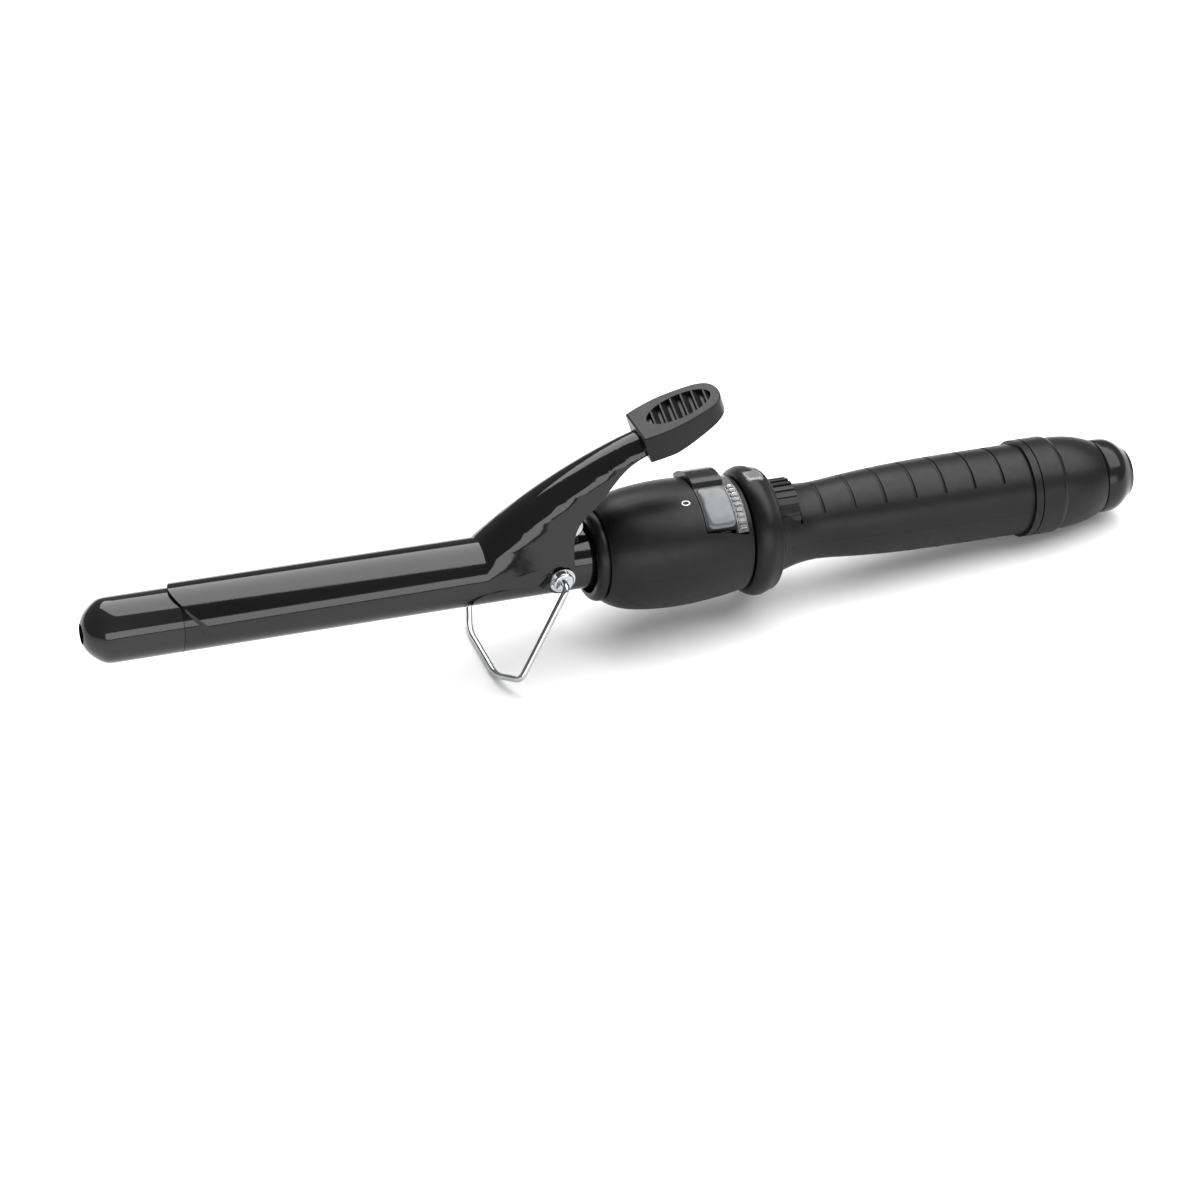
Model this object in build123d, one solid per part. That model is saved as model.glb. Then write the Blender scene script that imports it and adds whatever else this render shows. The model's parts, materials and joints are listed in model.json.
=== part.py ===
from build123d import *
import math
import os

# Curling iron with a 19 mm barrel, a sprung clamp, a folding wire stand, a rocker switch,
# a heat dial and a swivelling cord end.
# The tool is modelled along its own axis: x runs from the tip to the cord end, z is up and
# y is the axis of the clamp hinge. set_on_table() then sets it down on its stand and its rear
# band, so that z = 0 is the table and the origin is the bottom centre of the whole object.

# ---------------------------------------------------------------- driving dimensions
BARREL_R = 9.5
BARREL_WALL = 1.0
LENGTH = 333.0
TIP_LENGTH = 28.0
TUBE_END = 166.0

HINGE_X = 140.2
HINGE_Z = 1.2
HINGE_PIN_R = 1.95
RUNNING_GAP = 0.06
EAR_INNER_Y = 10.45
EAR_OUTER_Y = 11.6
HEAD_Y = 12.65
LUG_R = 5.0

CLAMP_IN_R = 9.85
CLAMP_OUT_R = 10.65
CLAMP_FRONT = 25.5
CLAMP_TONGUE = 13.0
KINK_X = 118.0
LEVER_END = 171.0
LEVER_WALL = 1.15

WIRE_R = 1.0
STAND_HALF_TOP = 16.6
STAND_HALF_FOOT = 23.5
STAND_LEG = 29.5
STAND_BOW = 6.5
STAND_ANGLE = 58.0
STAND_BEND_R = 2.6
STAND_CORNER_R = 3.0
STAND_BOW_R = 14.0
STAND_FLAT_HALF = 12.0

NOSE_X = 151.6
NOSE_OPENING_R = 11.2
BODY_X = 155.2
GROOVE_X = 199.3
COLLAR_END = 209.5
SHELL_END = 296.9
SHELL_GAP = 0.02
SHELL_WALL = 2.0
COLLAR_SEAT_R = 15.6

SWITCH_X0 = 184.4
SWITCH_X1 = 194.0
SWITCH_PIVOT_Z = 11.0
SWITCH_HALF_Y = 14.6
WINDOW_X1 = 197.6
DIAL_X0 = 210.2
DIAL_X1 = 217.0
DIAL_R = 10.4
DIAL_Z = 4.8
DIAL_WINDOW = 46.0
DIAL_RIBS = 26
DIAL_SPINDLE_R = 2.4

BAND_R = 15.1
BAND_X0 = 294.4
SLEEVE_X0 = 297.3
BAND_END = 304.4
SLEEVE_END = 321.4
CAP_X0 = 321.9
CORD_BORE_R = 3.2

# ---------------------------------------------------------------- rest on the table
foot_reach = STAND_LEG + STAND_BOW
foot_angle = math.radians(STAND_ANGLE)
FOOT_X = HINGE_X - foot_reach * math.cos(foot_angle)
FOOT_Z = HINGE_Z - foot_reach * math.sin(foot_angle)
# The table touches the round foot of the wire and the rear edge of the band.
contact_run = BAND_END - FOOT_X
contact_drop = -BAND_R - FOOT_Z
TILT = math.atan2(contact_drop, contact_run) + math.asin(WIRE_R / math.hypot(contact_run, contact_drop))


# ---------------------------------------------------------------- helpers
def rod(radius, x0, x1, y=0.0, z=0.0):
    """Round bar along x."""
    bar = Cylinder(radius, x1 - x0, align=(Align.CENTER, Align.CENTER, Align.MIN))
    return Pos(x0, y, z) * Rot(0, 90, 0) * bar


def tube(outer, inner, x0, x1):
    """Round tube along x."""
    return rod(outer, x0, x1) - rod(inner, x0 - 1, x1 + 1)


def cross_pin(radius, y0, y1, x=HINGE_X, z=HINGE_Z):
    """Round bar along y."""
    bar = Cylinder(radius, y1 - y0, align=(Align.CENTER, Align.CENTER, Align.MIN))
    return Pos(x, y0, z) * Rot(-90, 0, 0) * bar


def block(x0, x1, y0, y1, z0, z1):
    """Box between two corners."""
    box = Box(x1 - x0, y1 - y0, z1 - z0, align=(Align.MIN, Align.MIN, Align.MIN))
    return Pos(x0, y0, z0) * box


def turned(edges):
    """Solid of revolution about the tool's axis, from edges in the x-z plane."""
    profile = make_face(edges)
    return revolve(profile, Axis.X, 360)


def xz(points):
    """Points of the x-z plane from (x, z) pairs."""
    return [(x, 0, z) for x, z in points]


def wedge(half_angle, up, reach=40.0, x0=0.0, x1=LENGTH):
    """Sector about the axis, half_angle each side of straight up (or down)."""
    side = math.radians(half_angle)
    y = reach * math.sin(side)
    z = reach * math.cos(side) * up
    outline = Polyline((x0, 0, 0), (x0, y, z), (x0, -y, z), close=True)
    return extrude(make_face(outline), x1 - x0, dir=(1, 0, 0))


def bent_wire(points, radius, bend):
    """Round wire through the points, with bends of one radius or a list of radii."""
    path = FilletPolyline(points, radius=bend)
    return sweep(Plane(path @ 0, z_dir=path % 0) * Circle(radius), path=path)


# ---------------------------------------------------------------- barrel
def make_tip_cap():
    dome = Spline(xz([(0.0, 0.0), (1.6, 5.4), (4.6, 8.3), (9.5, BARREL_R)]),
                  tangents=[(0, 0, 1), (1, 0, 0)])
    spigot_r = BARREL_R - BARREL_WALL - 0.05
    rest = Polyline(xz([(9.5, BARREL_R), (TIP_LENGTH - 0.15, BARREL_R), (TIP_LENGTH - 0.15, spigot_r),
                        (TIP_LENGTH + 7, spigot_r), (TIP_LENGTH + 7, 0), (0, 0)]))
    cap = turned(dome + rest)
    cap -= rod(3.0, -1, 4.5)
    cap -= rod(1.55, 0, TIP_LENGTH + 8)
    return cap


def make_tip_screw():
    head = rod(2.7, 2.6, 4.5) + rod(1.5, 4.5, TIP_LENGTH + 13)
    slot = block(2.0, 3.4, -3, 3, -0.4, 0.4)
    return head - slot - Rot(90, 0, 0) * slot


def make_barrel_tube():
    shell = tube(BARREL_R, BARREL_R - BARREL_WALL, TIP_LENGTH, TUBE_END)
    return shell - cross_pin(HINGE_PIN_R + 0.1, -12, 12)


def make_barrel_end_plug():
    plug = rod(BARREL_R - BARREL_WALL - 0.04, TIP_LENGTH + 7.2, TIP_LENGTH + 14)
    return plug - rod(1.45, TIP_LENGTH, TIP_LENGTH + 15)


HEAT_X0 = TIP_LENGTH + 16
HEAT_X1 = HINGE_X - 10
SLOT_HALF_Z = 1.7
SLOT_HALF_Y = 5.0


def make_heat_block(up):
    core = rod(BARREL_R - BARREL_WALL - 0.08, HEAT_X0, HEAT_X1)
    keep = block(HEAT_X0, HEAT_X1, -9, 9, 0.15, 9) if up > 0 else block(HEAT_X0, HEAT_X1, -9, 9, -9, -0.15)
    slot = block(HEAT_X0 - 1, HEAT_X1 + 1, -SLOT_HALF_Y, SLOT_HALF_Y, -SLOT_HALF_Z, SLOT_HALF_Z)
    flutes = [rod(1.3, HEAT_X0 - 1, HEAT_X1 + 1, 4.6 * side, 5.0 * up) for side in (-1, 1)]
    body = (core & keep) - slot
    for flute in flutes:
        body -= flute
    return body


def make_heater_element():
    return block(HEAT_X0 + 6, HEAT_X1 - 6, -4.2, 4.2, -1.15, 1.15)


def make_heater_insulation():
    outer = block(HEAT_X0 + 3, HEAT_X1 - 3, -4.75, 4.75, -1.6, 1.6)
    return outer - block(HEAT_X0 + 2, HEAT_X1 - 2, -4.3, 4.3, -1.2, 1.2)


def make_thermistor():
    bead = Pos(HEAT_X1 + 2.6, 0, 5.2) * Sphere(1.2)
    return bead + rod(0.35, HEAT_X1 + 2.6, HINGE_X + 3, 0, 5.2)


def make_thermal_fuse():
    return rod(1.5, HINGE_X + 8, HINGE_X + 18, 0, -4.5) + rod(0.5, HINGE_X + 4, HINGE_X + 24, 0, -4.5)


def make_hinge_block():
    block_x0 = HINGE_X - 6
    core = rod(BARREL_R - BARREL_WALL - 0.03, block_x0, HINGE_X + 6)
    core -= block(block_x0 - 1, HINGE_X + 7, -3.2, 3.2, -6, 6.6)
    return core - cross_pin(HINGE_PIN_R - 0.05, -12, 12)


def make_root_bush():
    bush = tube(11.7, BARREL_R, BODY_X + 1.4, TUBE_END - 0.5)
    flange = tube(15.0, BARREL_R, TUBE_END - 4, TUBE_END - 0.5)
    return bush + flange


# ---------------------------------------------------------------- clamp and lever
# Each lever station: x, crest height, shoulder height, half width at the shoulder,
# half width of the skirt and the height where the skirt ends.
LEVER_STATIONS = [
    (LEVER_END, 42.0, 37.6, 5.4, EAR_OUTER_Y, 6.5),
    (160.0, 38.2, 33.4, 6.2, EAR_OUTER_Y, 6.5),
    (148.0, 32.3, 26.8, 7.2, EAR_OUTER_Y, 6.5),
    (137.0, 25.8, 19.6, 8.0, EAR_OUTER_Y, 6.5),
    (127.0, 18.6, 11.6, 8.9, 11.2, 4.0),
    (KINK_X, CLAMP_OUT_R, 0.0, CLAMP_OUT_R, CLAMP_OUT_R, -4.0),
]


def lever_section(station, inset):
    """Arched outline across the lever, made smaller all round by inset."""
    x, crest, shoulder, half_top, half_skirt, knee = station
    top = half_top - inset
    skirt = half_skirt - inset
    bottom = -9.0 - inset
    right = Polyline((x, -skirt, bottom), (x, skirt, bottom), (x, skirt, knee), (x, top, shoulder))
    arch = ThreePointArc((x, top, shoulder), (x, 0, crest - inset), (x, -top, shoulder))
    left = Polyline((x, -top, shoulder), (x, -skirt, knee), (x, -skirt, bottom))
    return make_face(right + arch + left)


def lever_side_view():
    """Side outline of the lever and its hinge ears, as a slab across the tool."""
    rear = Spline(xz([(144.6, 2.0), (143.9, 8.0), (145.3, 16.4), (151.4, 22.6), (158.9, 30.8),
                      (LEVER_END, 36.6)]))
    outline = Polyline(xz([(LEVER_END, 36.6), (LEVER_END, 50), (KINK_X, 50), (KINK_X, 0), (133.0, 0),
                           (135.2, -1.6), (HINGE_X, -1.6), (144.6, 2.0)]))
    slab = extrude(make_face(rear + outline), 20, dir=(0, 1, 0), both=True)
    return slab + cross_pin(LUG_R, -20, 20)


def make_clamp(rivet_hole):
    spoon = tube(CLAMP_OUT_R, CLAMP_IN_R, CLAMP_FRONT, KINK_X)
    spoon &= block(CLAMP_FRONT - 1, KINK_X, -12, 12, 0, 12)
    front = Pos(CLAMP_FRONT + CLAMP_TONGUE, 0, 0) * Ellipse(CLAMP_TONGUE, CLAMP_OUT_R + 0.05)
    plan = front + Pos(CLAMP_FRONT + CLAMP_TONGUE, 0, 0) * Rectangle(
        200, 2 * CLAMP_OUT_R + 0.1, align=(Align.MIN, Align.CENTER))
    spoon &= extrude(plan, 14)
    outer = loft([lever_section(s, 0.0) for s in LEVER_STATIONS])
    inner = loft([lever_section(s, LEVER_WALL if s[0] > KINK_X else CLAMP_OUT_R - CLAMP_IN_R)
                  for s in LEVER_STATIONS])
    lever = (outer - inner) & lever_side_view()
    lever -= cross_pin(HINGE_PIN_R + RUNNING_GAP, -20, 20)
    return spoon + (lever - rivet_hole)


REST_X = 164.6
REST_Z = 42.5
REST_SLOPE = 20.0
REST_LENGTH = 27.0
REST_HALF = 8.9
REST_DEPTH = 8.6
RIVET_X = 4.4
REST_RIBS = 6
RIVET_Z = -1.4


def rest_outline(inset):
    """Plan of the thumb rest: square end towards the barrel, round end behind."""
    half = REST_HALF - inset
    start = inset
    end = REST_LENGTH - inset
    mouth = 7.6 - inset
    side = Spline([(start, mouth), (9.5, half), (18.0, half - 0.9), (end, 0)],
                  tangents=[(1, 0.25), (0, -1)])
    return make_face(side + mirror(side, Plane.XZ) + Line((start, -mouth), (start, mouth)))


def to_rest(solid):
    """From the thumb rest's own flat frame to its place on the lever."""
    return Pos(REST_X, 0, REST_Z) * Rot(0, -REST_SLOPE, 0) * solid


def make_thumb_rest(clamp, rivet):
    body = extrude(rest_outline(0), -REST_DEPTH)
    underside = make_face(Polyline(xz([(-1, -9), (8, -REST_DEPTH), (29, -5.0), (29, -12), (-1, -12)]),
                                   close=True))
    body -= extrude(underside, 12, dir=(0, 1, 0), both=True)
    top_edges = body.edges().group_by(Axis.Z)[-1]
    body = fillet(top_edges, 0.6)
    pocket_plan = Pos(14.2, 0, 0) * Ellipse(10.2, 5.6)
    body -= Pos(0, 0, -1.5) * extrude(pocket_plan, 3)
    ribs = Part()
    for number in range(REST_RIBS):
        rib_x = 5.4 + number * 3.3
        side_view = Polyline(xz([(rib_x, -1.5), (rib_x + 0.5, -0.08), (rib_x + 0.95, -0.08),
                                 (rib_x + 2.5, -1.5)]), close=True)
        ribs += extrude(make_face(side_view), 6, dir=(0, 1, 0), both=True)
    slanted = Pos(14.2, 0, 0) * Rot(0, 0, -9) * Pos(-14.2, 0, 0) * ribs
    body += slanted & Pos(0, 0, -1.5) * extrude(pocket_plan, 3)
    return to_rest(body) - clamp - rivet


def make_rest_rivet():
    """Rivet that holds the thumb rest to the lever's sheet, with a head on each side of it."""
    shank = Cylinder(1.2, 4.6, align=(Align.CENTER, Align.CENTER, Align.MAX))
    head = Cylinder(2.2, 0.8, align=(Align.CENTER, Align.CENTER, Align.MAX))
    return to_rest(Pos(RIVET_X, 0, RIVET_Z) * (shank + head + Pos(0, 0, -4.6) * head))


def make_rivet_hole():
    shank = Cylinder(1.2, 12, align=(Align.CENTER, Align.CENTER, Align.MAX))
    return to_rest(Pos(RIVET_X, 0, 0) * shank)


def make_clamp_spring():
    """Torsion spring on the barrel root: turns side by side on a bush, with two legs."""
    coil_r = 2.9
    wire_r = 0.6
    turns = 6
    pitch = 1.45
    coil_x = HINGE_X + 5.6
    coil_z = BARREL_R + coil_r + wire_r + 0.15
    coils = Part()
    for number in range(turns):
        coil_y = (number - (turns - 1) / 2) * pitch
        coils += Pos(coil_x, coil_y, coil_z) * Rot(90, 0, 0) * Torus(coil_r, wire_r)
    bar_y = turns * pitch / 2
    core = cross_pin(coil_r - 0.3, -bar_y, bar_y, coil_x, coil_z)
    core -= cross_pin(coil_r - 1.3, -bar_y - 1, bar_y + 1, coil_x, coil_z)
    leg_y = bar_y - pitch / 2
    barrel_leg = rod(wire_r, HINGE_X - 4, coil_x + 0.4, -leg_y, coil_z - coil_r)
    lever_leg = bent_wire([(coil_x + 0.4, leg_y, coil_z + coil_r), (139.5, leg_y, coil_z + coil_r),
                           (133.2, leg_y, coil_z + coil_r + 1.4)], wire_r, 2.0)
    return coils + core + barrel_leg + lever_leg


# ---------------------------------------------------------------- hinge hardware and stand
def make_hinge_screws():
    group = []
    for side in (-1, 1):
        shank = cross_pin(HINGE_PIN_R, 5.0, HEAD_Y)
        head = cross_pin(3.1, HEAD_Y, HEAD_Y + 1.5)
        head = fillet(head.edges().filter_by(GeomType.CIRCLE).group_by(Axis.Y)[-1], 0.7)
        screw = shank + head - cross_pin(WIRE_R + RUNNING_GAP, 7.0, HEAD_Y + 2)
        group.append(screw if side > 0 else mirror(screw, Plane.XZ))
    return Compound(children=group)


def make_hinge_washers():
    washer = cross_pin(3.9, HEAD_Y - 0.75, HEAD_Y - 0.02)
    washer -= cross_pin(HINGE_PIN_R + 0.02, EAR_OUTER_Y - 1, EAR_OUTER_Y + 2)
    return Compound(children=[washer, mirror(washer, Plane.XZ)])


def stand_point(y, reach):
    """Point of the stand's plane: y across, reach along the legs from the hinge."""
    angle = math.radians(STAND_ANGLE)
    return (HINGE_X - reach * math.cos(angle), y, HINGE_Z - reach * math.sin(angle))


def make_stand_wire():
    """Round wire: two pivot ends, two splayed legs and a bowed foot that is flat in its middle."""
    half_path = [stand_point(7.6, 0), stand_point(STAND_HALF_TOP, 0),
                 stand_point(STAND_HALF_FOOT, STAND_LEG), stand_point(STAND_FLAT_HALF, foot_reach)]
    other_half = [(x, -y, z) for x, y, z in reversed(half_path)]
    bends = [STAND_BEND_R, STAND_CORNER_R, STAND_BOW_R]
    return bent_wire(half_path + other_half, WIRE_R, bends + bends[::-1])


# ---------------------------------------------------------------- handle shells
def skin_edges(inset):
    """Outer line of the handle shells from the nose to the band, moved inwards by inset."""
    body = Spline(xz([(BODY_X, 13.9 - inset), (159.6, 16.7 - inset), (168.0, 18.6 - inset),
                      (178.0, 19.2 - inset), (189.0, 18.6 - inset), (GROOVE_X, 17.2 - inset)]))
    seat = Polyline(xz([(GROOVE_X, 17.2 - inset), (GROOVE_X + 0.6, COLLAR_SEAT_R - inset),
                        (COLLAR_END - 1.5, COLLAR_SEAT_R - inset)]))
    grip = Spline(xz([(COLLAR_END - 1.5, COLLAR_SEAT_R - inset), (215.0, 13.1 - inset),
                      (223.0, 11.8 - inset), (233.0, 12.3 - inset), (250.0, 13.5 - inset),
                      (270.0, 14.0 - inset), (293.0, 14.1 - inset)]))
    band = Polyline(xz([(293.0, 14.1 - inset), (BAND_X0, 14.1 - inset), (BAND_X0 + 0.1, BAND_R - inset),
                        (SHELL_END, BAND_R - inset)]))
    return body + seat + grip + band


def shell_solid():
    outside = turned(skin_edges(0) + Polyline(xz([(SHELL_END, BAND_R), (SHELL_END, 0), (BODY_X, 0),
                                                  (BODY_X, 13.9)])))
    wall = SHELL_WALL
    inside = turned(skin_edges(wall) + Polyline(xz([(SHELL_END, BAND_R - wall), (SHELL_END, 0), (BODY_X, 0),
                                                    (BODY_X, 13.9 - wall)])))
    return outside - inside


GRIP_GROOVES = 7
GRIP_PITCH = 9.9
GRIP_FIRST_X = 225.2
GRIP_ARC = 47.0
GROOVE_R = 0.55


def grip_radius(x):
    """Radius of the grip at x, from the widening of the neck into the grip."""
    growth = min(max((x - 223.0) / 42.0, 0.0), 1.0)
    return 11.8 + 2.2 * math.sin(growth * math.pi / 2)


def cut_grip_grooves(shell, up):
    for number in range(GRIP_GROOVES):
        x = GRIP_FIRST_X + number * GRIP_PITCH
        ring = Pos(x, 0, 0) * Rot(0, 90, 0) * Torus(grip_radius(x), GROOVE_R)
        shell -= ring & wedge(GRIP_ARC, up, x0=x - 2, x1=x + 2)
    return shell


# Each housing screw: where it is, how far its bosses reach out into the shell's wall, and the
# depth of its head's seat below the axis.
HOUSING_SCREWS = [(176.0, 18.2, 12.0), (240.0, 12.0, 8.0), (284.0, 13.2, 8.0)]
BOSS_R = 2.8


def screw_boss(x, reach, up):
    """Post from the middle plane into the wall of the upper (up = 1) or lower (up = -1) shell."""
    post = Pos(x, 0, 0.3 * up) * Cylinder(BOSS_R, 30, align=(Align.CENTER, Align.CENTER, Align.MIN))
    if up < 0:
        post = Pos(x, 0, -0.3) * Cylinder(BOSS_R, 30, align=(Align.CENTER, Align.CENTER, Align.MAX))
    return post & rod(reach, x - 4, x + 4)


def make_lower_shell(shell):
    half = shell & block(BODY_X, SHELL_END, -25, 25, -25, -SHELL_GAP)
    half = cut_grip_grooves(half, -1)
    for x, reach, head_depth in HOUSING_SCREWS:
        half += screw_boss(x, reach, -1)
        half -= Pos(x, 0, 0) * Cylinder(1.3, 60)
        half -= Pos(x, 0, -head_depth) * Cylinder(2.35, 30, align=(Align.CENTER, Align.CENTER, Align.MAX))
    return half


def make_upper_shell(shell):
    half = shell & block(BODY_X, SHELL_END, -25, 25, SHELL_GAP, 25)
    half = cut_grip_grooves(half, 1)
    half -= block(SWITCH_X0 - 0.4, WINDOW_X1 + 0.1, -SWITCH_HALF_Y - 0.4, SWITCH_HALF_Y + 0.4, 6, 25)
    half -= dial_well()
    for x, reach, _ in HOUSING_SCREWS:
        half += screw_boss(x, reach, 1) - Pos(x, 0, 0) * Cylinder(1.05, 16)
    return half


def make_housing_screws():
    group = []
    for x, _, head_depth in HOUSING_SCREWS:
        head = Cylinder(2.2, 1.6, align=(Align.CENTER, Align.CENTER, Align.MAX))
        shank = Cylinder(1.1, head_depth + 5, align=(Align.CENTER, Align.CENTER, Align.MIN))
        group.append(Pos(x, 0, -head_depth) * (head + shank))
    return Compound(children=group)


def make_nose_ring():
    lip = Polyline(xz([(NOSE_X, NOSE_OPENING_R), (NOSE_X, 12.2)])) + ThreePointArc(
        (NOSE_X, 0, 12.2), (NOSE_X + 1.0, 0, 13.5), (NOSE_X + 2.6, 0, 13.9))
    back = Polyline(xz([(NOSE_X + 2.6, 13.9), (NOSE_X + 2.6, 12.9), (BODY_X - 0.1, 12.9), (BODY_X - 0.1, 11.7),
                        (BODY_X + 1.2, 11.7), (BODY_X + 1.2, NOSE_OPENING_R), (NOSE_X, NOSE_OPENING_R)]))
    return turned(lip + back)


def make_collar_ring():
    x0 = GROOVE_X + 0.75
    bulge = Spline(xz([(x0, 17.5), (x0 + 1.6, 19.1), (204.6, 19.7), (207.4, 18.8), (COLLAR_END, 16.6)]),
                   tangents=[(0.6, 0, 1), (0.35, 0, -1)])
    inner = Polyline(xz([(COLLAR_END, 16.6), (COLLAR_END, COLLAR_SEAT_R + 0.03), (x0, COLLAR_SEAT_R + 0.03),
                         (x0, 17.5)]))
    ring = turned(bulge + inner)
    return ring - lens_block(0.05)


LENS_X = 204.2
LENS_HALF = 2.7


def lens_block(gap):
    half = LENS_HALF + gap
    return block(LENS_X - half, LENS_X + half, -half, half, COLLAR_SEAT_R + 0.03 - gap, 21)


def make_indicator_lens():
    dome = Pos(204.4, 0, 0) * Rot(0, 90, 0) * Torus(10.0, 9.9)
    return lens_block(0) & dome


def make_indicator_led():
    dome = Pos(LENS_X, 0, 11.5) * (Cylinder(1.5, 2, align=(Align.CENTER, Align.CENTER, Align.MIN))
                                   + Pos(0, 0, 2) * (Sphere(1.5) & Pos(0, 0, 1) * Box(4, 4, 2)))
    return dome


def cut_light_hole(shell):
    return shell - Pos(LENS_X, 0, 10) * Cylinder(1.7, 12, align=(Align.CENTER, Align.CENTER, Align.MIN))


# ---------------------------------------------------------------- controls
def polar(radius, angle):
    """Point of the y-z plane; angle in degrees from straight up towards -y."""
    turn = math.radians(angle)
    return (-radius * math.sin(turn), radius * math.cos(turn))


def rocker_point(point):
    """Point of the y-z plane, put on the rocker's front face."""
    y, z = point
    return (SWITCH_X0, y, z)


def make_rocker_switch():
    near = [rocker_point(polar(18.6, 50.0)), rocker_point(polar(18.75, 26.0)), rocker_point(polar(18.8, 4.0))]
    far = [rocker_point(polar(20.1, 1.0)), rocker_point(polar(20.9, -20.0)), rocker_point(polar(20.4, -43.0))]
    underside = [(12.6, 13.0), (8.0, 10.8), (3.0, 8.2), (-3.0, 8.2), (-8.0, 9.4), (-13.6, 10.4)]
    near_arc = ThreePointArc(*near)
    step = Line(near[2], far[0])
    far_arc = ThreePointArc(*far)
    base = Polyline([far[2]] + [rocker_point(point) for point in underside] + [near[0]])
    cap = extrude(make_face(near_arc + step + far_arc + base), SWITCH_X1 - SWITCH_X0, dir=(1, 0, 0))
    return cap - rod(1.2 + RUNNING_GAP, SWITCH_X0 - 1, SWITCH_X1 + 1, 0, SWITCH_PIVOT_Z)


def make_switch_pin():
    return rod(1.2, SWITCH_X0 - 1.6, SWITCH_X1 + 1.6, 0, SWITCH_PIVOT_Z)


def make_switch_body():
    case = block(SWITCH_X0 - 1.6, SWITCH_X1 + 1.6, -7.5, 7.5, -3.0, 5.6)
    for x0, x1 in ((SWITCH_X0 - 1.6, SWITCH_X0 - 0.25), (SWITCH_X1 + 0.25, SWITCH_X1 + 1.6)):
        case += block(x0, x1, -3.0, 3.0, 5.6, SWITCH_PIVOT_Z + 2.4)
    case -= rod(1.2, SWITCH_X0 - 2, SWITCH_X1 + 2, 0, SWITCH_PIVOT_Z)
    terminals = [block(x, x + 0.8, -2.4, 2.4, -7.0, -3.0) for x in (SWITCH_X0, SWITCH_X0 + 4, SWITCH_X0 + 8)]
    for terminal in terminals:
        case += terminal
    return case


def make_switch_window():
    """Clear strip beside the rocker, curved with the body."""
    ring = tube(18.0, 16.2, SWITCH_X1 + 0.35, WINDOW_X1)
    wide = wedge(56.0, 1, x0=SWITCH_X1, x1=WINDOW_X1 + 1)
    return ring & wide


def dial_well():
    """Room for the dial inside the shells, and the window that its rim shows through."""
    x0 = DIAL_X0 - 0.4
    x1 = DIAL_X1 + 0.4
    return rod(DIAL_R + 0.45, x0, x1, 0, DIAL_Z) + wedge(DIAL_WINDOW, 1, x0=x0, x1=x1)


def make_temp_dial():
    rim = rod(DIAL_R - 0.5, DIAL_X0, DIAL_X1)
    rib = block(DIAL_X0, DIAL_X1, -0.65, 0.65, DIAL_R - 1.5, DIAL_R)
    for number in range(DIAL_RIBS):
        rim += Rot(number * 360 / DIAL_RIBS, 0, 0) * rib
    rim -= rod(DIAL_R - 3.0, DIAL_X0 + 1.8, DIAL_X1 + 1)
    hub = rod(4.0, DIAL_X0, DIAL_X1)
    return Pos(0, 0, DIAL_Z) * (rim + hub - rod(DIAL_SPINDLE_R - 0.02, DIAL_X0 - 1, DIAL_X1 + 2))


def make_dial_spindle():
    return rod(DIAL_SPINDLE_R, DIAL_X0 - 4.2, DIAL_X1, 0, DIAL_Z)


def make_dial_potentiometer():
    can = rod(6.2, DIAL_X0 - 7.2, DIAL_X0 - 0.5, 0, DIAL_Z)
    pins = [block(DIAL_X0 - 6.4, DIAL_X0 - 5.6, y, y + 0.8, -7.0, 0) for y in (-3.0, -0.4, 2.2)]
    for pin in pins:
        can += pin
    return can - rod(DIAL_SPINDLE_R + RUNNING_GAP, DIAL_X0 - 4.4, DIAL_X0 + 1, 0, DIAL_Z)


def make_circuit_board():
    board = block(222.5, 280.5, -7.6, 7.6, -1.0, 0.6)
    return board - Pos(HOUSING_SCREWS[1][0], 0, 0) * Cylinder(3.1, 6)


def make_capacitor():
    return rod(3.6, 244.5, 256.0, 0.0, 4.3)


def make_triac():
    return block(229.0, 234.0, -4.4, 4.4, 0.65, 3.4) + block(234.0, 237.0, -4.4, 4.4, 0.65, 1.9)


def make_inductor():
    ring = Pos(268.0, 0, 3.4) * Torus(3.4, 1.9)
    return ring & block(260, 276, -9, 9, 0.65, 9)


def make_heater_leads():
    """Two sleeved wires from the heater, through the hinge block and under the dial, to the board."""
    leads = []
    for side in (-1, 1):
        points = [(HEAT_X1 - 5.6, 2.0 * side, 0.0), (160.0, 2.0 * side, 0.0), (170.0, 4.8 * side, -3.5),
                  (186.0, 4.8 * side, -8.2), (206.0, 2.4 * side, -8.2), (218.0, 2.4 * side, -8.2),
                  (227.0, 2.4 * side, -4.0)]
        leads.append(bent_wire(points, 0.75, 4.0))
    return Compound(children=leads)


# ---------------------------------------------------------------- rear sleeve and cord swivel
def make_end_sleeve():
    skin = Polyline(xz([(SLEEVE_X0, BAND_R), (BAND_END - 0.3, BAND_R)])) + ThreePointArc(
        (BAND_END - 0.3, 0, BAND_R), (BAND_END + 0.7, 0, 14.85), (BAND_END + 1.5, 0, 14.3))
    taper = Spline(xz([(BAND_END + 1.5, 14.3), (311.5, 14.1), (316.6, 13.2), (SLEEVE_END, 11.5)]))
    inner = Polyline(xz([(SLEEVE_END, 11.5), (SLEEVE_END, 8.0), (SLEEVE_END - 2.5, 8.0),
                         (SLEEVE_END - 2.5, 9.6), (SLEEVE_END - 8.0, 10.9), (SLEEVE_X0 + 4.0, 12.9),
                         (SLEEVE_X0, 12.9), (SLEEVE_X0, BAND_R)]))
    return turned(skin + taper + inner)


def make_inner_collar():
    """Spigot that joins the shells to the rear sleeve."""
    spigot = tube(12.0, 10.9, SHELL_END - 9, BAND_X0 + 1)
    return spigot + tube(12.85, 10.9, BAND_X0 + 0.2, SLEEVE_X0 + 3.5)


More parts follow.
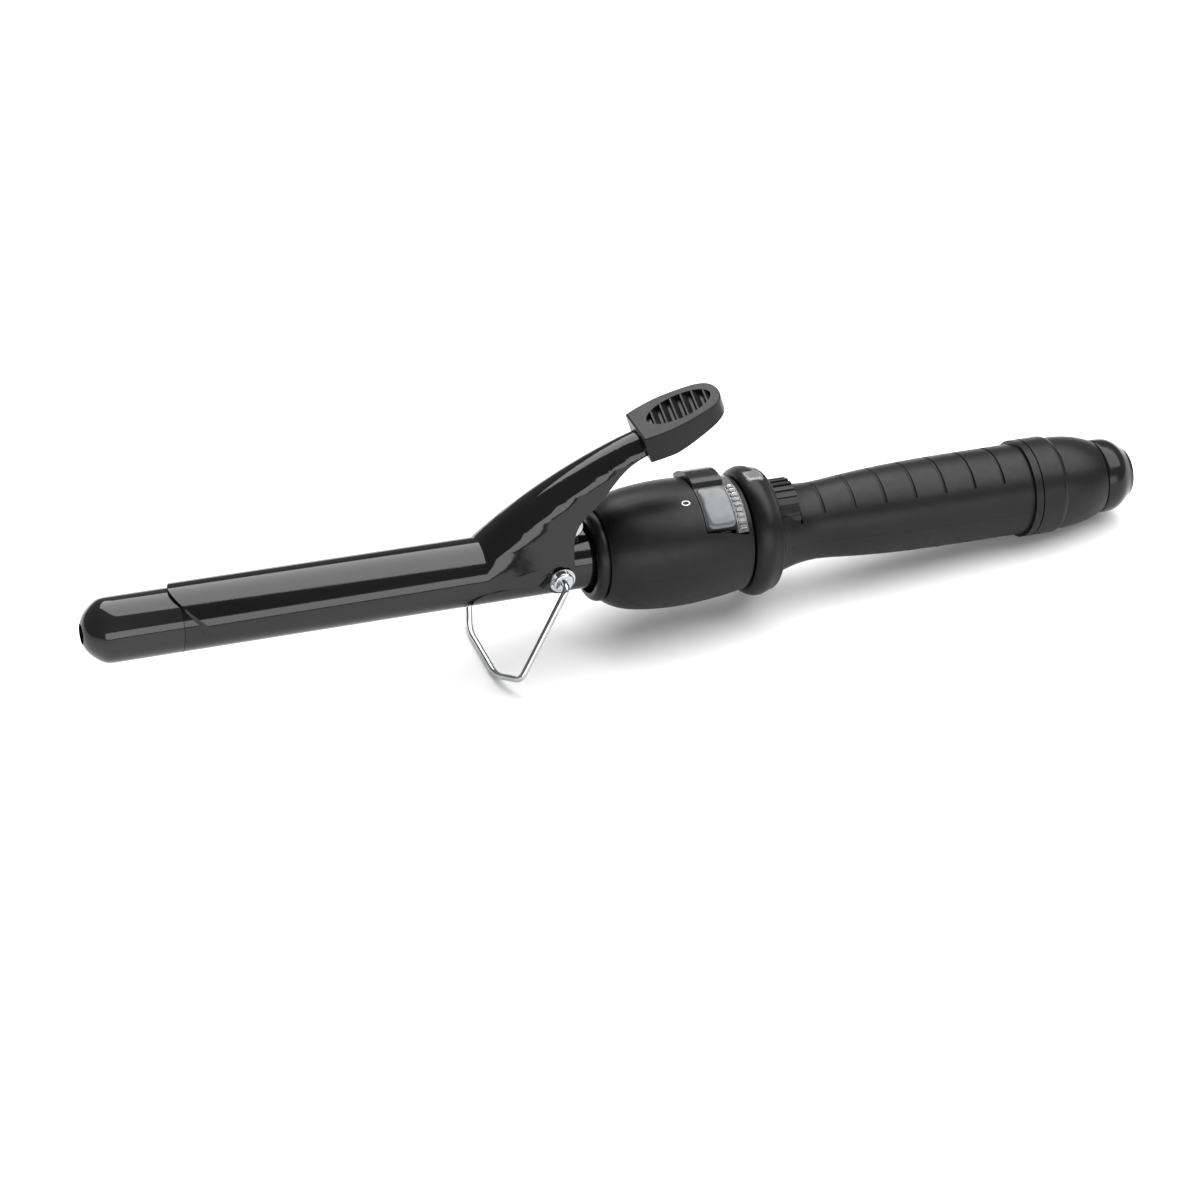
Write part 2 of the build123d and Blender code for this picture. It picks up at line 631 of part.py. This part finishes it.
def make_swivel_cap():
    dome = Spline(xz([(CAP_X0, 11.1), (323.0, 11.5), (328.2, 10.6), (331.6, 8.2), (LENGTH, 4.9)]),
                  tangents=[(0.5, 0, 1), (0.1, 0, -1)])
    back = Polyline(xz([(LENGTH, 4.9), (LENGTH, 4.3), (CAP_X0 + 3, 4.3), (CAP_X0 + 3, 6.0), (CAP_X0, 6.0),
                        (CAP_X0, 11.1)]))
    return turned(dome + back)


def make_swivel_stem():
    stem = tube(8.0 - RUNNING_GAP, CORD_BORE_R + 0.2, SLEEVE_END - 4.4, CAP_X0 - 0.05)
    neck = tube(5.95, CORD_BORE_R + 0.2, CAP_X0 - 0.05, CAP_X0 + 2.95)
    flange = tube(9.2, CORD_BORE_R + 0.2, SLEEVE_END - 4.4, SLEEVE_END - 2.56)
    return stem + neck + flange


def make_cord_gland():
    return tube(4.25, CORD_BORE_R, CAP_X0 + 3.05, LENGTH + 0.3)


def make_slip_ring_carrier():
    return tube(6.2, CORD_BORE_R + 0.2, 303.5, SLEEVE_END - 4.45)


def make_slip_rings():
    rings = [tube(7.4, 6.25, x, x + 2.4) for x in (305.0, 310.0)]
    return Compound(children=rings)


def make_contact_brushes():
    """Two spring contacts that rub on the rings."""
    group = []
    for x in (305.5, 310.5):
        group.append(block(x, x + 1.4, -2.0, 2.0, 7.55, 8.2) + block(x, x + 1.4, 1.2, 2.0, 7.55, 8.6))
    return Compound(children=group)


def make_brush_holder():
    shelf = tube(10.5, 8.9, 303.4, 313.0) & block(303, 314, -8, 8, 7.0, 12)
    return shelf + tube(10.85, 8.9, 299.6, 303.5)


def make_mains_leads():
    """Two wires from the brush holder to the circuit board."""
    leads = []
    for side in (-1, 1):
        points = [(277.0, 5.2 * side, -2.0), (285.0, 5.2 * side, -4.6), (299.4, 7.4 * side, -6.4)]
        leads.append(bent_wire(points, 0.75, 4.0))
    return Compound(children=leads)


# ---------------------------------------------------------------- assembly
def build():
    shell = cut_light_hole(shell_solid())
    rivet = make_rest_rivet()
    clamp = make_clamp(make_rivet_hole())
    return {
        "tip_cap": make_tip_cap(),
        "tip_screw": make_tip_screw(),
        "barrel_tube": make_barrel_tube(),
        "barrel_end_plug": make_barrel_end_plug(),
        "heat_block_upper": make_heat_block(1),
        "heat_block_lower": make_heat_block(-1),
        "heater_element": make_heater_element(),
        "heater_insulation": make_heater_insulation(),
        "thermistor": make_thermistor(),
        "thermal_fuse": make_thermal_fuse(),
        "hinge_block": make_hinge_block(),
        "root_bush": make_root_bush(),
        "clamp_lever": clamp,
        "thumb_rest": make_thumb_rest(clamp, rivet),
        "thumb_rest_rivet": rivet,
        "clamp_spring": make_clamp_spring(),
        "hinge_screws": make_hinge_screws(),
        "hinge_washers": make_hinge_washers(),
        "stand_wire": make_stand_wire(),
        "nose_ring": make_nose_ring(),
        "upper_shell": make_upper_shell(shell),
        "lower_shell": make_lower_shell(shell),
        "housing_screws": make_housing_screws(),
        "collar_ring": make_collar_ring(),
        "indicator_lens": make_indicator_lens(),
        "indicator_led": make_indicator_led(),
        "rocker_switch": make_rocker_switch(),
        "switch_pin": make_switch_pin(),
        "switch_body": make_switch_body(),
        "switch_window": make_switch_window(),
        "temp_dial": make_temp_dial(),
        "dial_spindle": make_dial_spindle(),
        "dial_potentiometer": make_dial_potentiometer(),
        "circuit_board": make_circuit_board(),
        "capacitor": make_capacitor(),
        "triac": make_triac(),
        "inductor": make_inductor(),
        "heater_leads": make_heater_leads(),
        "end_sleeve": make_end_sleeve(),
        "inner_collar": make_inner_collar(),
        "swivel_cap": make_swivel_cap(),
        "swivel_stem": make_swivel_stem(),
        "cord_gland": make_cord_gland(),
        "slip_ring_carrier": make_slip_ring_carrier(),
        "slip_rings": make_slip_rings(),
        "contact_brushes": make_contact_brushes(),
        "brush_holder": make_brush_holder(),
        "mains_leads": make_mains_leads(),
    }


def set_on_table(nodes):
    """Tilts the tool, tip up, and puts the origin at the bottom centre of the whole object."""
    tilted = {name: Rot(0, math.degrees(TILT), 0) * solid for name, solid in nodes.items()}
    boxes = [solid.bounding_box() for solid in tilted.values()]
    middle = (min(box.min.X for box in boxes) + max(box.max.X for box in boxes)) / 2
    band_rest = BAND_END * math.sin(TILT) + BAND_R * math.cos(TILT)
    return {name: Pos(-middle, 0, band_rest) * solid for name, solid in tilted.items()}


os.makedirs("parts", exist_ok=True)
for name, solid in set_on_table(build()).items():
    export_step(solid, f"parts/{name}.step")
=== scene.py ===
import json
import math

import bmesh
import bpy
from mathutils import Matrix, Vector


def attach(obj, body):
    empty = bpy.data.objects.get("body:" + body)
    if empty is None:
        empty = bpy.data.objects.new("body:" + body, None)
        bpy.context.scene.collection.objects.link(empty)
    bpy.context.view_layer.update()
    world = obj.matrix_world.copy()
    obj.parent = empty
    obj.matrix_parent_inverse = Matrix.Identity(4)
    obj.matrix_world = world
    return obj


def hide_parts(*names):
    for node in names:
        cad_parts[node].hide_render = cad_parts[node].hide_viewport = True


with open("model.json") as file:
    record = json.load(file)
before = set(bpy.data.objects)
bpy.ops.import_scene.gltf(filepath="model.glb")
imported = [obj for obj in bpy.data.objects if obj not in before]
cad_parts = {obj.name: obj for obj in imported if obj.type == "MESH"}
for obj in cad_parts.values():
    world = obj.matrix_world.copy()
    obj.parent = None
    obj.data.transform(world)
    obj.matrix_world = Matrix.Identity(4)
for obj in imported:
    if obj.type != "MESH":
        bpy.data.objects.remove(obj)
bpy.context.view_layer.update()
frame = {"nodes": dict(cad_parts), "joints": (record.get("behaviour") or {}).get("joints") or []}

# Curling iron on a white studio table. The tool lies along x, tip towards -x, with its
# barrel tipped up by the wire stand. Lengths given with MM are in millimetres.
MM = 0.001

# ---------------------------------------------------------------- the tool's own axis
# The swivel joint gives the axis and one known point of it.
JOINTS = {joint["name"]: joint for joint in frame["joints"]}
AXIS = Vector(JOINTS["cord_swivel"]["axis"])
SWIVEL_POINT = Vector(JOINTS["cord_swivel"]["pos_m"])
SWIVEL_X = 321.9
UP = Vector((-AXIS.z, 0, AXIS.x))
TOOL = Matrix.Translation(SWIVEL_POINT - AXIS * SWIVEL_X * MM) @ Matrix(
    ((AXIS.x, 0, UP.x, 0), (0, 1, 0, 0), (AXIS.z, 0, UP.z, 0), (0, 0, 0, 1)))


def tool_point(x, y, z):
    """Point given along the tool's axis in millimetres, as a point of the scene."""
    return TOOL @ Vector((x * MM, y * MM, z * MM))


def on_skin(x, angle, radius):
    """Point on a circle about the tool's axis; angle in degrees from the top towards -y."""
    turn = math.radians(angle)
    return tool_point(x, -radius * math.sin(turn), radius * math.cos(turn))


# ---------------------------------------------------------------- camera, floor and light
VIEW_HEADING = 20.1
VIEW_DOWN = 35.67
VIEW_ROLL = -1.1
VIEW_DISTANCE = 0.9414
VIEW_AIM = Vector((-0.0199, -0.0258, 0.030))


def add_camera():
    data = bpy.data.cameras.new("camera")
    data.lens = 97.6
    data.sensor_width = 36.0
    camera = bpy.data.objects.new("camera", data)
    bpy.context.scene.collection.objects.link(camera)
    turn = (Matrix.Rotation(math.radians(-VIEW_HEADING), 4, "Z")
            @ Matrix.Rotation(math.radians(90 - VIEW_DOWN), 4, "X")
            @ Matrix.Rotation(math.radians(VIEW_ROLL), 4, "Z"))
    forward = turn.to_3x3() @ Vector((0, 0, -1))
    camera.matrix_world = Matrix.Translation(VIEW_AIM - forward * VIEW_DISTANCE) @ turn
    bpy.context.scene.camera = camera


def add_area_light(name, place, aim, size, power):
    data = bpy.data.lights.new(name, "AREA")
    data.shape = "RECTANGLE"
    data.size, data.size_y = size
    data.energy = power
    light = bpy.data.objects.new(name, data)
    bpy.context.scene.collection.objects.link(light)
    light.location = place
    light.rotation_euler = (Vector(aim) - Vector(place)).to_track_quat("-Z", "Y").to_euler()


def add_lights():
    centre = (0, 0, 0.03)
    add_area_light("top_panel", (0.35, 0.25, 0.95), centre, (2.4, 1.0), 37)
    add_area_light("front_panel", (-0.1, -1.25, 0.32), centre, (2.2, 0.5), 14)
    world = bpy.data.worlds.new("studio")
    world.use_nodes = True
    world.node_tree.nodes["Background"].inputs["Color"].default_value = (1, 1, 1, 1)
    world.node_tree.nodes["Background"].inputs["Strength"].default_value = 0.28
    bpy.context.scene.world = world
    bpy.context.scene.view_settings.view_transform = "Standard"


def add_floor():
    mesh = bpy.data.meshes.new("floor")
    half = 6.0
    mesh.from_pydata([(-half, -half, 0), (half, -half, 0), (half, half, 0), (-half, half, 0)], [],
                     [(0, 1, 2, 3)])
    floor = bpy.data.objects.new("floor", mesh)
    bpy.context.scene.collection.objects.link(floor)
    material, shader = new_material("floor_white")
    shader.inputs["Base Color"].default_value = (0.9, 0.9, 0.9, 1)
    shader.inputs["Roughness"].default_value = 0.6
    shader.inputs["Specular IOR Level"].default_value = 0.1
    mesh.materials.append(material)


# ---------------------------------------------------------------- materials
def new_material(name):
    material = bpy.data.materials.new(name)
    material.use_nodes = True
    return material, material.node_tree.nodes["Principled BSDF"]


def add_noise(material, scale, detail=3.0):
    """Noise in the object's own metres, so its grain has a real size."""
    nodes = material.node_tree.nodes
    links = material.node_tree.links
    place = nodes.new("ShaderNodeTexCoord")
    noise = nodes.new("ShaderNodeTexNoise")
    noise.inputs["Scale"].default_value = scale
    noise.inputs["Detail"].default_value = detail
    links.new(place.outputs["Object"], noise.inputs["Vector"])
    return noise


def vary(material, shader, socket, noise, low, high):
    """Drives a socket between two values by the noise."""
    nodes = material.node_tree.nodes
    links = material.node_tree.links
    ramp = nodes.new("ShaderNodeMapRange")
    ramp.inputs["From Min"].default_value = 0.3
    ramp.inputs["From Max"].default_value = 0.7
    ramp.inputs["To Min"].default_value = low
    ramp.inputs["To Max"].default_value = high
    links.new(noise.outputs["Fac"], ramp.inputs["Value"])
    links.new(ramp.outputs["Result"], shader.inputs[socket])


def vary_colour(material, shader, noise, dark, light):
    """Mixes two close colours by the noise."""
    nodes = material.node_tree.nodes
    links = material.node_tree.links
    ramp = nodes.new("ShaderNodeValToRGB")
    ramp.color_ramp.elements[0].position = 0.35
    ramp.color_ramp.elements[1].position = 0.65
    ramp.color_ramp.elements[0].color = (*dark, 1)
    ramp.color_ramp.elements[1].color = (*light, 1)
    links.new(noise.outputs["Fac"], ramp.inputs["Fac"])
    links.new(ramp.outputs["Color"], shader.inputs["Base Color"])


def add_bump(material, shader, noise, depth, strength):
    """Fine relief, depth in metres."""
    nodes = material.node_tree.nodes
    links = material.node_tree.links
    bump = nodes.new("ShaderNodeBump")
    bump.inputs["Strength"].default_value = strength
    bump.inputs["Distance"].default_value = depth
    links.new(noise.outputs["Fac"], bump.inputs["Height"])
    links.new(bump.outputs["Normal"], shader.inputs["Normal"])


def gloss_coat():
    """Glossy black baked coating of the barrel and the clamp, with a faint haze."""
    material, shader = new_material("gloss_black_coat")
    haze = add_noise(material, 60, 4)
    vary_colour(material, shader, haze, (0.002, 0.002, 0.0022), (0.0035, 0.0035, 0.0038))
    vary(material, shader, "Roughness", add_noise(material, 180, 3), 0.06, 0.1)
    add_bump(material, shader, add_noise(material, 900, 2), 0.000012, 0.35)
    shader.inputs["Specular IOR Level"].default_value = 0.4
    return material


def tip_plastic():
    """Moulded black plastic of the tip cap, a little shinier than the coated barrel."""
    material, shader = new_material("tip_plastic")
    vary_colour(material, shader, add_noise(material, 80, 3), (0.006, 0.006, 0.0065), (0.0095, 0.0095, 0.01))
    vary(material, shader, "Roughness", add_noise(material, 220, 3), 0.04, 0.08)
    add_bump(material, shader, add_noise(material, 700, 2), 0.00001, 0.3)
    shader.inputs["Specular IOR Level"].default_value = 0.4
    return material


def plastic(name, dark, light, rough_low, rough_high, grain, depth):
    """Moulded plastic: a fine grain in its surface and uneven gloss."""
    material, shader = new_material(name)
    vary_colour(material, shader, add_noise(material, 120, 4), (dark, dark, dark * 1.03),
                (light, light, light * 1.03))
    vary(material, shader, "Roughness", add_noise(material, 350, 3), rough_low, rough_high)
    add_bump(material, shader, add_noise(material, grain, 2), depth, 0.6)
    shader.inputs["Specular IOR Level"].default_value = 0.22
    return material


def tinted(name, dark, light, rough_low, rough_high, grain, depth, metallic=0.0):
    """Any hidden or small piece with its own two close colours."""
    material, shader = new_material(name)
    vary_colour(material, shader, add_noise(material, 200, 3), dark, light)
    vary(material, shader, "Roughness", add_noise(material, 500, 3), rough_low, rough_high)
    add_bump(material, shader, add_noise(material, grain, 2), depth, 0.5)
    shader.inputs["Metallic"].default_value = metallic
    return material


def chrome():
    """Polished plating of the wire stand and the hinge hardware."""
    material, shader = new_material("chrome")
    vary_colour(material, shader, add_noise(material, 300, 3), (0.38, 0.385, 0.395), (0.48, 0.485, 0.495))
    vary(material, shader, "Roughness", add_noise(material, 800, 3), 0.04, 0.10)
    add_bump(material, shader, add_noise(material, 1500, 2), 0.000008, 0.3)
    shader.inputs["Metallic"].default_value = 1.0
    return material


def clear_plastic(name, tint, rough):
    """See-through grey plastic."""
    material, shader = new_material(name)
    vary_colour(material, shader, add_noise(material, 400, 3), (tint * 0.92, tint * 0.93, tint * 0.95),
                (tint, tint, tint))
    vary(material, shader, "Roughness", add_noise(material, 900, 3), rough, rough + 0.06)
    add_bump(material, shader, add_noise(material, 1200, 2), 0.00002, 0.4)
    shader.inputs["Transmission Weight"].default_value = 0.75
    shader.inputs["IOR"].default_value = 1.49
    return material


def paint(material, *nodes):
    """Gives CAD nodes a material."""
    for node in nodes:
        for node_slot in frame["nodes"][node].material_slots:
            node_slot.material = material


def paint_nodes():
    paint(gloss_coat(), "barrel_tube", "clamp_lever")
    paint(tip_plastic(), "tip_cap")
    paint(plastic("soft_touch", 0.0022, 0.0035, 0.36, 0.44, 6000, 0.00002),
          "upper_shell", "lower_shell", "end_sleeve", "collar_ring", "nose_ring")
    paint(plastic("rest_plastic", 0.004, 0.006, 0.3, 0.38, 4000, 0.00002), "thumb_rest")
    paint(plastic("cap_plastic", 0.006, 0.008, 0.16, 0.22, 2500, 0.00001), "swivel_cap", "cord_gland")
    paint(plastic("dial_plastic", 0.005, 0.008, 0.3, 0.4, 4000, 0.00001), "temp_dial")
    paint(plastic("rocker_plastic", 0.012, 0.018, 0.14, 0.2, 2500, 0.00001), "rocker_switch")
    paint(clear_plastic("clear_window", 0.35, 0.08), "switch_window")
    paint(chrome(), "stand_wire", "hinge_screws", "hinge_washers")
    paint(tinted("plated_steel", (0.42, 0.42, 0.43), (0.55, 0.55, 0.55), 0.22, 0.35, 2500, 0.00002, 1.0),
          "tip_screw", "housing_screws", "clamp_spring", "switch_pin", "thermal_fuse")
    paint(tinted("heat_alloy", (0.6, 0.61, 0.62), (0.72, 0.73, 0.74), 0.3, 0.45, 900, 0.00004, 1.0),
          "heat_block_upper", "heat_block_lower", "barrel_end_plug", "hinge_block")
    paint(tinted("blackened_steel", (0.012, 0.012, 0.013), (0.02, 0.02, 0.021), 0.35, 0.45, 2500, 0.00002),
          "thumb_rest_rivet")
    paint(tinted("heater_ceramic", (0.78, 0.75, 0.68), (0.88, 0.86, 0.8), 0.6, 0.75, 3000, 0.00003),
          "heater_element")
    paint(tinted("amber_film", (0.55, 0.3, 0.05), (0.7, 0.42, 0.1), 0.2, 0.3, 900, 0.00003),
          "heater_insulation", "thermistor")
    paint(tinted("inner_plastic", (0.55, 0.54, 0.5), (0.68, 0.67, 0.63), 0.4, 0.5, 3500, 0.00002),
          "root_bush", "switch_body", "dial_spindle", "dial_potentiometer", "inner_collar", "swivel_stem",
          "slip_ring_carrier", "brush_holder")
    paint(tinted("lamp_lens", (0.6, 0.09, 0.05), (0.75, 0.15, 0.1), 0.12, 0.2, 2500, 0.00001),
          "indicator_led")
    paint(tinted("board_green", (0.02, 0.13, 0.05), (0.04, 0.2, 0.08), 0.3, 0.4, 1500, 0.00003),
          "circuit_board")
    paint(tinted("component_black", (0.02, 0.02, 0.022), (0.035, 0.035, 0.04), 0.3, 0.4, 2500, 0.00002),
          "capacitor", "triac")
    paint(tinted("copper_winding", (0.5, 0.2, 0.08), (0.65, 0.3, 0.12), 0.25, 0.35, 1500, 0.00004, 1.0),
          "inductor")
    paint(tinted("lead_sleeve", (0.7, 0.7, 0.67), (0.82, 0.82, 0.8), 0.5, 0.6, 2500, 0.00003),
          "heater_leads", "mains_leads")
    paint(tinted("contact_brass", (0.68, 0.5, 0.2), (0.8, 0.62, 0.3), 0.2, 0.3, 2500, 0.00001, 1.0),
          "slip_rings", "contact_brushes")


# ---------------------------------------------------------------- details on the body
SWITCH_X0 = 184.4
SWITCH_X1 = 194.0
WINDOW_X1 = 197.6
WINDOW_R = 18.0
STRIP_RIBS = 9
STRIP_RIB_PITCH = 5.6
LENS_X0 = 201.55
LENS_X1 = 206.85
LENS_ANGLE = 7.7
ZERO_X = 180.0
ZERO_ANGLE = 21.0
ZERO_R = 19.18
LONG_SIDE_STEPS = 24


def new_piece(name, mesh_data, material, body):
    """Smooth object from a bmesh that rides on a body, with the material it is given."""
    bmesh.ops.remove_doubles(mesh_data, verts=mesh_data.verts, dist=0.002 * MM)
    bmesh.ops.recalc_face_normals(mesh_data, faces=mesh_data.faces)
    mesh = bpy.data.meshes.new(name)
    mesh_data.to_mesh(mesh)
    mesh_data.free()
    mesh.polygons.foreach_set("use_smooth", [True] * len(mesh.polygons))
    mesh.materials.append(material)
    piece = bpy.data.objects.new(name, mesh)
    bpy.context.scene.collection.objects.link(piece)
    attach(piece, body)
    return piece


def add_loops(mesh_data, loops):
    """Closed loops of equal length, joined side by side."""
    rows = [[mesh_data.verts.new(point) for point in loop] for loop in loops]
    for row, next_row in zip(rows, rows[1:]):
        for i in range(len(row)):
            j = (i + 1) % len(row)
            mesh_data.faces.new((row[i], row[j], next_row[j], next_row[i]))


def rounded_outline(width, length, corner):
    """Points (across, along) round a rectangle with round corners, close together on its long sides."""
    points = []
    straight = length - 2 * corner
    corners = [(1, 1, 0), (-1, 1, 90), (-1, -1, 180), (1, -1, 270)]
    for side, end, start in corners:
        for step in range(7):
            turn = math.radians(start + step * 15)
            points.append((side * (width / 2 - corner) + corner * math.cos(turn),
                           end * (length / 2 - corner) + corner * math.sin(turn)))
        if (side, end) in ((-1, 1), (1, -1)):
            for step in range(1, LONG_SIDE_STEPS):
                along = end * (straight / 2 - straight * step / LONG_SIDE_STEPS)
                points.append((side * width / 2, along))
    return points


def add_curved_pad(mesh_data, x0, x1, angle0, angle1, base_r, top_r, corner, edge):
    """Pad that follows the round body, with a rounded top edge."""
    width = x1 - x0
    length = math.radians(angle1 - angle0) * top_r
    outline = rounded_outline(width, length, corner)
    middle_angle = (angle0 + angle1) / 2
    reach = length / 2 - width / 2

    def loop(inset, radius):
        points = []
        for across, along in outline:
            keep = min(max(along, -reach), reach)
            pull = inset / (width / 2)
            u = across * (1 - pull)
            v = along + (keep - along) * pull
            points.append(on_skin((x0 + x1) / 2 + u, middle_angle + math.degrees(v / top_r), radius))
        return points

    loops = [loop(0, base_r), loop(0, top_r - edge), loop(0.3 * edge, top_r - 0.3 * edge), loop(edge, top_r)]
    loops += [loop(edge + (width / 2 - edge) * step / 4, top_r) for step in range(1, 5)]
    add_loops(mesh_data, loops)


def make_rocker_panel():
    """Smoky clear cover on the near half of the rocker."""
    data = bmesh.new()
    add_curved_pad(data, SWITCH_X0 + 0.4, SWITCH_X1 - 0.05, angle0=4.6, angle1=49.6, base_r=18.3, top_r=19.25,
                   corner=2.0, edge=0.7)
    material = tinted("smoky_panel", (0.085, 0.087, 0.09), (0.12, 0.123, 0.126), 0.16, 0.24, 2500, 0.00001)
    return new_piece("rocker_panel", data, material, "rocker")


def make_strip_ribs():
    """Ribs of the clear strip beside the rocker."""
    data = bmesh.new()
    for number in range(STRIP_RIBS):
        start = 5.0 + number * STRIP_RIB_PITCH
        add_curved_pad(data, SWITCH_X1 + 0.8, WINDOW_X1 - 0.35, start, start + STRIP_RIB_PITCH / 2,
                       base_r=WINDOW_R - 0.1, top_r=WINDOW_R + 0.5, corner=0.3, edge=0.25)
    return new_piece("strip_ribs", data, clear_plastic("rib_clear", 0.5, 0.06), "handle")


def make_lamp_window():
    """Clear cover over the lamp in the collar, with rounded corners."""
    data = bmesh.new()
    add_curved_pad(data, LENS_X0, LENS_X1, -LENS_ANGLE, LENS_ANGLE, base_r=17.0, top_r=19.8,
                   corner=0.7, edge=0.35)
    window = new_piece("lamp_window", data, clear_plastic("lamp_clear", 0.55, 0.06), "handle")
    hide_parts("indicator_lens")
    return window


def make_zero_mark():
    """Printed off mark beside the switch."""
    half_long = 1.35
    half_wide = 0.95
    stroke = 0.36

    def ring(inset):
        points = []
        for step in range(48):
            turn = math.tau * step / 48
            along = (half_long - inset) * math.cos(turn)
            across = (half_wide - inset) * math.sin(turn)
            points.append(on_skin(ZERO_X + along, ZERO_ANGLE + math.degrees(across / ZERO_R), ZERO_R + 0.05))
        return points

    data = bmesh.new()
    add_loops(data, [ring(0), ring(stroke / 2), ring(stroke)])
    ink = tinted("white_ink", (0.75, 0.75, 0.75), (0.85, 0.85, 0.85), 0.4, 0.5, 3000, 0.00001)
    return new_piece("zero_mark", data, ink, "handle")


# ---------------------------------------------------------------- scene
add_camera()
add_floor()
add_lights()
paint_nodes()
make_rocker_panel()
make_strip_ribs()
make_lamp_window()
make_zero_mark()
